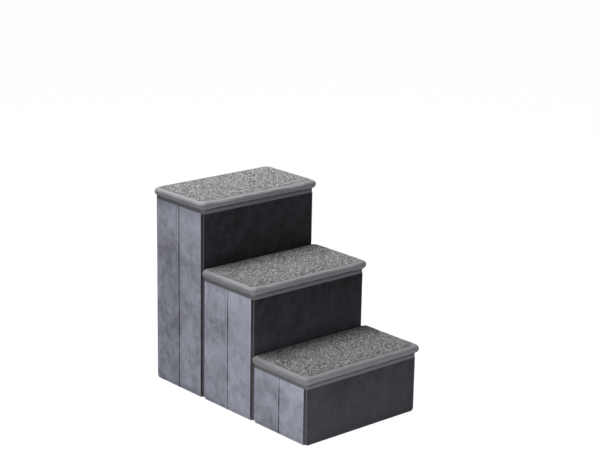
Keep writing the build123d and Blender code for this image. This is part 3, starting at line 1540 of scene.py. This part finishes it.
@dataclass
class Lid(Part):
    """Padded lid: a velour border with a full round edge and a loop carpet in its bed."""

    sizes: LidSizes = LidSizes()
    filling: Filling = Filling()
    yarn: Yarn = Yarn()

    @property
    def body(self) -> str:
        """The body of the lid."""
        return self.named("lid")

    def build(self) -> None:
        """Builds all the lid's pieces."""
        self.border()
        self.carpet()
        self.stitches()
        dress_board(self.named("lid_board"))

    def ring(
        self, low: Vector, high: Vector, inset: float, height: float, corner: float
    ) -> list[Vector]:
        """A ring of points round a box, always as many and in the same order.

        Args:
            low: lowest corner of the box.
            high: its highest corner.
            inset: how far the ring lies inside the box's outline.
            height: the ring's height.
            corner: its radius at the corners.

        Returns:
            The points.
        """
        centre, half = (low + high) / 2, (high - low) / 2
        reach = (half.x - inset - corner, half.y - inset - corner)
        steps = self.sizes.corner_steps
        points: list[tuple[float, float]] = []
        for quarter, (x, y) in enumerate(((1, 1), (-1, 1), (-1, -1), (1, -1))):
            for number in range(steps + 1):
                angle = math.pi / 2 * (quarter + number / steps)
                cos, sin = math.cos(angle), math.sin(angle)
                points.append((x * reach[0] + corner * cos, y * reach[1] + corner * sin))
            start = points[-1]
            lengthwise = quarter % 2 == 0
            count = self.sizes.long_cuts if lengthwise else self.sizes.short_cuts
            way = (-2.0 * x * reach[0], 0.0) if lengthwise else (0.0, -2.0 * y * reach[1])
            for number in range(1, count + 1):
                share = number / (count + 1)
                points.append((start[0] + way[0] * share, start[1] + way[1] * share))
        return [Vector((centre.x + x, centre.y + y, height)) for x, y in points]

    def sections(self, bottom: float, top: float) -> list[Triple]:
        """The rings of the border, from the board round to the bed.

        Args:
            bottom: height of the border's underside.
            top: height of its top.

        Returns:
            Inset, height and corner radius of each ring.
        """
        sizes = self.sizes
        rings = [
            (sizes.board_margin, bottom + sizes.board_depth, sizes.board_corner),
            (sizes.board_margin, bottom + sizes.board_edge, sizes.board_corner),
            (sizes.board_margin - sizes.board_cut, bottom, sizes.board_corner),
        ]
        for cos, sin in arc(15):
            inset = sizes.edge * (1.0 - sin)
            rings.append((inset, bottom + sizes.edge * (1.0 - cos), sizes.corner - inset))
        for cos, sin in arc(15):
            inset = sizes.edge * (1.0 - cos)
            rings.append((inset, top - sizes.edge * (1.0 - sin), sizes.corner - inset))
        for cos, sin in arc(30):
            inset = sizes.bed_margin - sizes.bed_edge + sizes.bed_edge * sin
            rings.append((inset, top - sizes.bed_edge * (1.0 - cos), sizes.bed_corner))
        rings.append((sizes.bed_margin, top - sizes.bed_depth, sizes.bed_corner))
        return rings

    def border(self) -> None:
        """The padded velour border."""
        node = self.named("lid_border")
        low, high = (Vector(corner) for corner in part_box(node))
        mesh = bmesh.new()
        skin(mesh, [self.ring(low, high, *section) for section in self.sections(low.z, high.z)])
        bmesh.ops.recalc_face_normals(mesh, faces=mesh.faces)
        self.blow_up(mesh, low, high)
        self.plump(mesh, low, high)
        piece = seat(mesh, self.named("lid_pad"), LID_VELOUR, self.body, (node,))

    def blow_up(self, mesh: bmesh.types.BMesh, low: Vector, high: Vector) -> None:
        """Fills the border as a cloth under pressure that is held where it is sewn.

        Args:
            mesh: the border, whose points are moved.
            low: its lowest corner.
            high: its highest corner.
        """
        def room(point: Vector) -> float:
            """Way from a point to the nearest side of the lid."""
            return min(point.x - low.x, high.x - point.x, point.y - low.y, high.y - point.y)

        filling = self.filling
        mesh.normal_update()
        loose = [v for v in mesh.verts if room(v.co) < self.sizes.edge - filling.held]
        for vertex, normal in [(vertex, vertex.normal.copy()) for vertex in loose]:
            vertex.co -= normal * filling.drawn_in
        band, reach = mesh.copy(), self.sizes.bed_margin + filling.held
        around = [vertex for vertex in mesh.verts if room(vertex.co) < reach]
        far = [vertex for vertex in band.verts if room(vertex.co) >= reach]
        bmesh.ops.delete(band, geom=far, context="VERTS")
        holder = stand("filling", mesh_data(band, "filling"))
        sewn = holder.vertex_groups.new(name="sewn")
        held = set(around) - set(loose)
        numbers = [number for number, vertex in enumerate(around) if vertex in held]
        sewn.add(numbers, 1.0, "REPLACE")
        cloth = holder.modifiers.new("cloth", "CLOTH").settings
        cloth.vertex_group_mass = sewn.name
        cloth.use_pressure = True
        cloth.uniform_pressure_force = filling.pressure
        cloth.effector_weights.gravity = 0.0
        cloth.shrink_min = -filling.slack
        cloth.quality = filling.quality
        for frame_number in range(1, filling.frames + 1):
            bpy.context.scene.frame_set(frame_number)
        blown = holder.evaluated_get(bpy.context.evaluated_depsgraph_get()).data.vertices
        largest = 0.0
        for vertex, target in zip(around, blown):
            way = target.co - vertex.co
            largest = max(largest, way.length)
            if way.length > TINY:
                vertex.co += way * min(filling.give / way.length, 1.0)
            for axis in range(3):
                vertex.co[axis] = min(max(vertex.co[axis], low[axis]), high[axis])
        log.info("%s filled, largest way %.2f mm", self.body, largest / MM)
        bpy.data.objects.remove(holder)
        bpy.context.scene.frame_set(1)

    def plump(self, mesh: bmesh.types.BMesh, low: Vector, high: Vector) -> None:
        """Gives the padding its slight dents, with fine gathers round the corners.

        Args:
            mesh: the border, whose points are moved.
            low: its lowest corner.
            high: its highest corner.
        """
        filling = self.filling
        mesh.normal_update()
        seed = Vector((self.seed * filling.dent_step, 0.0, 0.0))
        centre = (low + high) / 2
        bed = (high.x - centre.x - self.sizes.bed_margin, high.y - centre.y - self.sizes.bed_margin)
        for vertex in mesh.verts:
            reach = max(abs(vertex.co.x - centre.x) - bed[0], 0.0)
            depth = max(abs(vertex.co.y - centre.y) - bed[1], 0.0)
            if reach == 0.0 and depth == 0.0:
                continue
            level = noise.noise(vertex.co / filling.dent_size + seed) - filling.dent_level
            dent = min(level, 0.0) * filling.dent
            wave = math.sin(math.atan2(depth, reach) * filling.gathers) * filling.gather
            gather = wave * ease(min(reach, depth) / filling.gather_reach)
            full = ease((vertex.co.z - low.z) / filling.foot_reach)
            vertex.co += vertex.normal * (dent + gather) * full

    def carpet(self) -> None:
        """The loop carpet: a backing with one small loop of yarn beside the other."""
        node = self.named("lid_carpet")
        low, high = (Vector(corner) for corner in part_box(node))
        mesh = bmesh.new()
        base = high.z - self.yarn.height
        corner, edge = self.sizes.bed_corner, self.sizes.carpet_edge
        sections = ((0.0, low.z, corner), (0.0, base - edge, corner), (edge, base, corner - edge))
        skin(mesh, [self.ring(low, high, *section) for section in sections])
        backing_count = len(mesh.verts)
        loops, shades = self.loops((low + high) / 2, (high - low) / 2, base)
        mesh.from_mesh(loops)
        name = self.named("tread_carpet")
        piece = seat(mesh, name, TREAD_CARPET, self.body, (node,), crease=80.0)
        self.colour_yarn(piece.data, backing_count, shades)

    def loops(
        self, centre: Vector, half: Vector, base: float
    ) -> tuple[bpy.types.Mesh, np.ndarray]:
        """All the loops of the carpet in one mesh, and the yarn shade of each vertex.

        Args:
            centre: centre of the carpet.
            half: half of its length and depth.
            base: height of the backing.

        Returns:
            The mesh and one grey shade for each of its vertices.
        """
        tuft = bmesh.new()
        bmesh.ops.create_icosphere(tuft, subdivisions=1, radius=1.0)
        size = len(tuft.verts)
        across, deep = int(half.x * 2 / self.yarn.pitch), int(half.y * 2 / self.yarn.pitch)
        apart = 10.0
        steps = ((across, Vector((apart, 0.0, 0.0))), (deep, Vector((0.0, apart, 0.0))))
        tufts = repeated(mesh_data(tuft, "loop"), steps)
        total = across * deep
        points = np.empty(total * size * 3, np.float32)
        tufts.vertices.foreach_get("co", points)
        columns = np.tile(np.arange(across), deep)
        rows = np.repeat(np.arange(deep), across)
        points = points.reshape(total, size, 3)
        points -= np.stack([columns * apart, rows * apart, columns * 0.0], 1)[:, None, :]
        places = np.stack([(columns + 0.5) / across, (rows + 0.5) / deep], 1) * 2.0 - 1.0
        moved, shades = self.scatter(points, places, centre, half, base)
        tufts.vertices.foreach_set("co", moved.reshape(-1).astype(np.float32))
        tufts.update()
        return tufts, np.repeat(shades, size)

    def scatter(
        self, points: np.ndarray, places: np.ndarray, centre: Vector, half: Vector, base: float
    ) -> tuple[np.ndarray, np.ndarray]:
        """Places, turns and stretches each loop, and draws its yarn shade.

        Args:
            points: each loop's points round its own centre.
            places: place of each loop, from -1 to 1 both ways.
            centre: centre of the carpet.
            half: half of its length and depth.
            base: height of the backing.

        Returns:
            The points in their places and the shade of each loop.
        """
        yarn, total = self.yarn, len(places)
        random = np.random.default_rng(self.seed)
        margin = yarn.radius * yarn.margin
        jitter = random.uniform(-yarn.jitter, yarn.jitter, (total, 2)) * yarn.pitch
        spots = places * np.array([half.x - margin, half.y - margin]) + jitter
        spots = self.keep_inside(spots, half, margin)
        angle = random.uniform(0.0, math.pi, total)
        length = yarn.radius * random.uniform(*yarn.lengths, total)
        width = yarn.radius * random.uniform(*yarn.widths, total)
        height = yarn.height * random.uniform(*yarn.heights, total)
        x, y, z = np.moveaxis(points * np.stack([length, width, height], 1)[:, None, :], 2, 0)
        cos, sin = np.cos(angle)[:, None], np.sin(angle)[:, None]
        turned = np.stack([x * cos - y * sin, x * sin + y * cos, z], 2)
        turned[..., 0] += spots[:, None, 0] + centre.x
        turned[..., 1] += spots[:, None, 1] + centre.y
        turned[..., 2] += base
        return turned, self.yarn_shades(random, spots)

    def keep_inside(self, spots: np.ndarray, half: Vector, margin: float) -> np.ndarray:
        """Draws loops that would lie past the outline back inside it.

        Args:
            spots: X and Y of each loop from the centre.
            half: half of the carpet's length and depth.
            margin: room that a loop needs.

        Returns:
            The new places.
        """
        room = np.array([half.x - margin, half.y - margin])
        spots = np.clip(spots, -room, room)
        radius = self.sizes.bed_corner - margin * 0.5
        over = np.abs(spots) - (room - radius)
        outside = (over > 0).all(1)
        distance = np.linalg.norm(np.maximum(over, 0.0), axis=1)
        pull = np.where(outside & (distance > radius), radius / np.maximum(distance, TINY), 1.0)
        inner = (room - radius) + np.maximum(over, 0.0) * pull[:, None]
        return np.where(outside[:, None], np.sign(spots) * inner, spots)

    def yarn_shades(self, random: np.random.Generator, spots: np.ndarray) -> np.ndarray:
        """A grey for each loop: mottled yarn with light and dark flecks in small clumps.

        Args:
            random: the source of chance.
            spots: X and Y of each loop.

        Returns:
            The greys.
        """
        yarn = self.yarn
        clumps, drift = (
            np.array([noise.noise(Vector((x, y, level)) / size) for x, y in spots])
            for level, size in ((0.0, yarn.clump_size), (0.3, yarn.drift_size))
        )
        grey = yarn.grey + yarn.clump * clumps + yarn.drift * drift
        grey = grey + random.normal(0.0, yarn.scatter, len(spots))
        flecks = random.random(len(spots))
        grey = np.where(flecks < yarn.flecks[0], grey * yarn.dark, grey)
        grey = np.where(flecks > yarn.flecks[1], grey * yarn.light + yarn.lift, grey)
        return np.clip(grey, *yarn.limits)

    def colour_yarn(self, data: bpy.types.Mesh, backing_count: int, shades: np.ndarray) -> None:
        """Writes the yarn shades into the carpet's mesh.

        Args:
            data: the carpet's mesh.
            backing_count: number of vertices of the backing, which come first.
            shades: one shade for each vertex of the loops.
        """
        yarn = self.yarn
        grey = np.concatenate([np.full(backing_count, yarn.backing), shades])
        warm = (grey - yarn.neutral) * yarn.warmth
        red, blue = grey * (1.0 + warm), grey * (yarn.blue - yarn.cooling * warm)
        tint = np.stack([red, grey, blue, np.ones_like(grey)], 1)
        attribute = data.color_attributes.new(YARN, "FLOAT_COLOR", "POINT")
        attribute.data.foreach_set("color", tint.reshape(-1).astype(np.float32))

    def stitches(self) -> None:
        """The row that holds the border to the carpet."""
        low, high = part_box(self.named("lid_border"))
        inset = self.sizes.edge - self.sizes.stitch_inset
        end = inset + self.sizes.bed_corner
        z = high.z - self.sizes.stitch_depth
        mesh = bmesh.new()
        for x, y in ((low.x + inset, low.y + inset), (high.x - inset, high.y - inset)):
            stitch_row(mesh, (low.x + end, y, z), (high.x - end, y, z))
            stitch_row(mesh, (x, low.y + end, z), (x, high.y - end, z))
        seat(mesh, self.named("lid_stitches"), VELOUR_THREAD, self.body)


# The soft bottom and the joining strips

@dataclass
class FloorCloth(Part):
    """Soft bottom of a box, creased so that it folds up like an envelope."""

    keep: float = 0.001
    gap: float = 0.3 * MM
    thickness: float = 1.2 * MM
    corner: float = 9.0 * MM

    def build(self) -> None:
        """Builds the six fields between the creases."""
        node, fold = self.named("floor_cloth"), self.named("fold")
        low, high = (Vector(corner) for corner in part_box(node))
        middle = (low.y + high.y) / 2
        run = middle - low.y
        for name, y, body, way in (
            ("back", high.y, BACK_BODY[self.step], -1.0),
            ("front", low.y, self.named("riser"), 1.0),
        ):
            start = y + way * self.corner
            outline = (
                (low.x, y),
                (high.x, y),
                (high.x, start),
                (high.x - run, middle),
                (low.x + run, middle),
                (low.x, start),
            )
            area = run * (high.x - low.x - run + self.corner)
            flat = (high.x - low.x, run)
            piece = self.field(self.named(f"{name}_floor"), outline, body, flat, area, node)
            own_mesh(piece)
        side_run = run - self.corner
        for side in Side:
            x = low.x if side is Side.LEFT else high.x
            for half in Half:
                y, way = (high.y, -1.0) if half is Half.BACK else (low.y, 1.0)
                outline = ((x, y + way * self.corner), (x - side.value * run, middle), (x, middle))
                body = self.named(f"{side.word}_{half.value}")
                flat, area = (run, side_run), run * side_run / 2
                piece = self.field(f"{body}_floor", outline, body, flat, area, node)
                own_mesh(piece)

    def field(
        self,
        name: str,
        outline: Sequence[tuple[float, float]],
        body: str,
        flat: tuple[float, float],
        area: float,
        node: str,
    ) -> bpy.types.Object:
        """One flat field of the cloth.

        Args:
            name: the piece's name.
            outline: X and Y of its corners.
            body: the body that it is sewn to.
            flat: width and length of its cut; not used.
            area: its real area; not used.
            node: the solid that it stands for.

        Returns:
            The piece.
        """
        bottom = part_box(node)[0].z
        mesh = bmesh.new()
        corners = [mesh.verts.new((x, y, bottom)) for x, y in outline]
        face = bmesh.ops.contextual_create(mesh, geom=corners)["faces"]
        made = bmesh.ops.extrude_face_region(mesh, geom=face)["geom"]
        raised = [v for v in made if isinstance(v, bmesh.types.BMVert)]
        bmesh.ops.translate(mesh, vec=(0.0, 0.0, self.thickness), verts=raised)
        piece = seat(mesh, name, DARK_LINING, body, (node,), crease=STRIP_CREASE)
        return piece


@dataclass
class JoiningStrips(Part):
    """Hook and loop strips between two boxes."""

    width: float = 30.0 * MM
    gap: float = 0.1 * MM
    grid: float = 10.0 * MM

    def build(self) -> None:
        """The two strips as one piece, each of a hook layer and a loop layer."""
        node = self.named("joining_strips")
        low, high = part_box(node)
        mesh = bmesh.new()
        middle = (low.y + high.y) / 2
        layers = ((low.y, middle - self.gap / 2), (middle + self.gap / 2, high.y))
        for left in (low.x, high.x - self.width):
            for front, back in layers:
                end = (left + self.width, back, high.z)
                slab = strip((left, front, low.z), end, Axis.Y, self.grid)
                take_in(mesh, mesh_data(slab.mesh, "strip"))
        name, body = self.named("hook_strips"), BACK_BODY[self.step]
        seat(mesh, name, HOOK_STRIP, body, (node,), crease=STRIP_CREASE)


@dataclass
class Box(Part):
    """One box of the stairs with all its sewn pieces."""

    def build(self) -> None:
        """Builds the box's pieces in order."""
        RiserWall(self.step).build()
        for side in Side:
            for half in Half:
                SideHalf(self.step, side, half).build()
        BackWall(self.step).build()
        Lid(self.step).build()
        FloorCloth(self.step).build()
        if self.step is not StepName.HIGH:
            JoiningStrips(self.step).build()
        dress_board(self.named("riser_board"))
        log.info("%s box built", self.step.value)


# Floor, light and camera

@dataclass(frozen=True)
class Lamp:
    """One soft round light, turned towards the stairs."""

    name: str
    place: Triple
    size: float
    power: float
    aim: Triple = (0.0, 0.0, 0.25)


KEY_LAMP = Lamp("key", (-1.2, -1.2, 0.35), 0.9, 7.2)
TOP_LAMP = Lamp("top", (-0.22, 0.45, 2.0), 1.1, 48.0)
FRONT_LAMP = Lamp("front", (-0.1, -1.4, 0.12), 0.5, 1.5, (0.0, -0.3, 0.05))


@dataclass
class Studio:
    """Pale floor, soft light and the photograph's point of view."""

    azimuth: float = 41.43
    elevation: float = 15.86
    roll: float = 1.02
    camera_place: Triple = (-2.6033, -3.0023, 1.5778)
    lens_share: float = 1664.0 / 600.0
    sensor: float = 36.0
    lamps: tuple[Lamp, ...] = (KEY_LAMP, TOP_LAMP, FRONT_LAMP)
    ambient: float = 0.12
    floor_shade: float = 0.65
    floor_size: float = 12.0
    floor_drop: float = 0.4 * MM
    floor_glow: float = 1.15
    floor_cover: float = 0.85

    def build(self) -> None:
        """Sets up the studio."""
        self.camera()
        self.floor()
        self.lights()
        self.world()
        bpy.context.scene.view_settings.view_transform = "Standard"
        log.info("studio built")

    def camera(self) -> None:
        """The camera, at the photograph's angle."""
        angles = (self.azimuth, self.elevation, self.roll)
        azimuth, elevation, roll = (math.radians(angle) for angle in angles)
        flat = math.cos(elevation)
        ahead = Vector((math.sin(azimuth) * flat, math.cos(azimuth) * flat, -math.sin(elevation)))
        level = ahead.cross(UP).normalized()
        upward = level.cross(ahead)
        right = math.cos(roll) * level + math.sin(roll) * upward
        up = -math.sin(roll) * level + math.cos(roll) * upward
        turn = Matrix((right, up, -ahead)).transposed().to_4x4()
        data = bpy.data.cameras.new("camera")
        data.sensor_width = self.sensor
        data.lens = self.lens_share * self.sensor
        camera = stand("camera", data)
        camera.matrix_world = Matrix.Translation(self.camera_place) @ turn
        bpy.context.scene.camera = camera

    def floor(self) -> None:
        """A pale floor, nearly white to the camera, which keeps the object's shadow."""
        mesh = bmesh.new()
        bmesh.ops.create_grid(mesh, x_segments=4, y_segments=4, size=self.floor_size)
        bmesh.ops.translate(mesh, vec=(0.0, 0.0, -self.floor_drop), verts=mesh.verts)
        data = mesh_data(mesh, "floor")
        data.materials.append(self.pale())
        stand("floor", data)

    def pale(self) -> bpy.types.Material:
        """The floor's finish.

        Returns:
            The material.
        """
        paint = Paint("pale_floor")
        shade = (self.floor_shade, self.floor_shade, self.floor_shade)
        paint.finish(Base_Color=shade, Roughness=0.9, Specular_IOR_Level=0.1)
        glow = {"Color": (1.0, 1.0, 1.0), "Strength": self.floor_glow}
        white = paint.add("ShaderNodeEmission", None, glow)
        path = paint.add("ShaderNodeLightPath")
        seen = paint.out(path, "Is Camera Ray") + paint.out(path, "Is Glossy Ray")
        seen = (seen + paint.out(path, "Is Transmission Ray")) * self.floor_cover
        shaders = {0: seen, 1: paint.out(paint.shader, 0), 2: paint.out(white, 0)}
        mixed = paint.add("ShaderNodeMixShader", None, shaders)
        paint.tree.links.new(mixed.outputs[0], paint.output.inputs["Surface"])
        return paint.material

    def lights(self) -> None:
        """Hangs the soft lights."""
        for lamp in self.lamps:
            data = bpy.data.lights.new(lamp.name, "AREA")
            data.shape = "DISK"
            data.size = lamp.size
            data.energy = lamp.power
            light = stand(lamp.name, data)
            turn = (Vector(lamp.aim) - Vector(lamp.place)).to_track_quat("-Z", "Y")
            light.matrix_world = Matrix.Translation(lamp.place) @ turn.to_matrix().to_4x4()
            light.visible_camera = False

    def world(self) -> None:
        """Even light all round, and white where the camera looks past the floor."""
        world = bpy.data.worlds.new("studio")
        bpy.context.scene.world = world
        world.use_nodes = True
        nodes, links = world.node_tree.nodes, world.node_tree.links
        nodes.clear()
        output = nodes.new("ShaderNodeOutputWorld")
        path = nodes.new("ShaderNodeLightPath")
        mixed = nodes.new("ShaderNodeMixShader")
        links.new(path.outputs["Is Camera Ray"], mixed.inputs[0])
        for number, strength in ((1, self.ambient), (2, 1.0)):
            background = nodes.new("ShaderNodeBackground")
            background.inputs["Color"].default_value = (1.0, 1.0, 1.0, 1.0)
            background.inputs["Strength"].default_value = strength
            links.new(background.outputs[0], mixed.inputs[number])
        links.new(mixed.outputs[0], output.inputs["Surface"])


def main() -> None:
    """Builds the studio and the three boxes."""
    logging.basicConfig(level=logging.INFO)
    Studio().build()
    for step in StepName:
        Box(step).build()


if __name__ == "__main__":
    main()
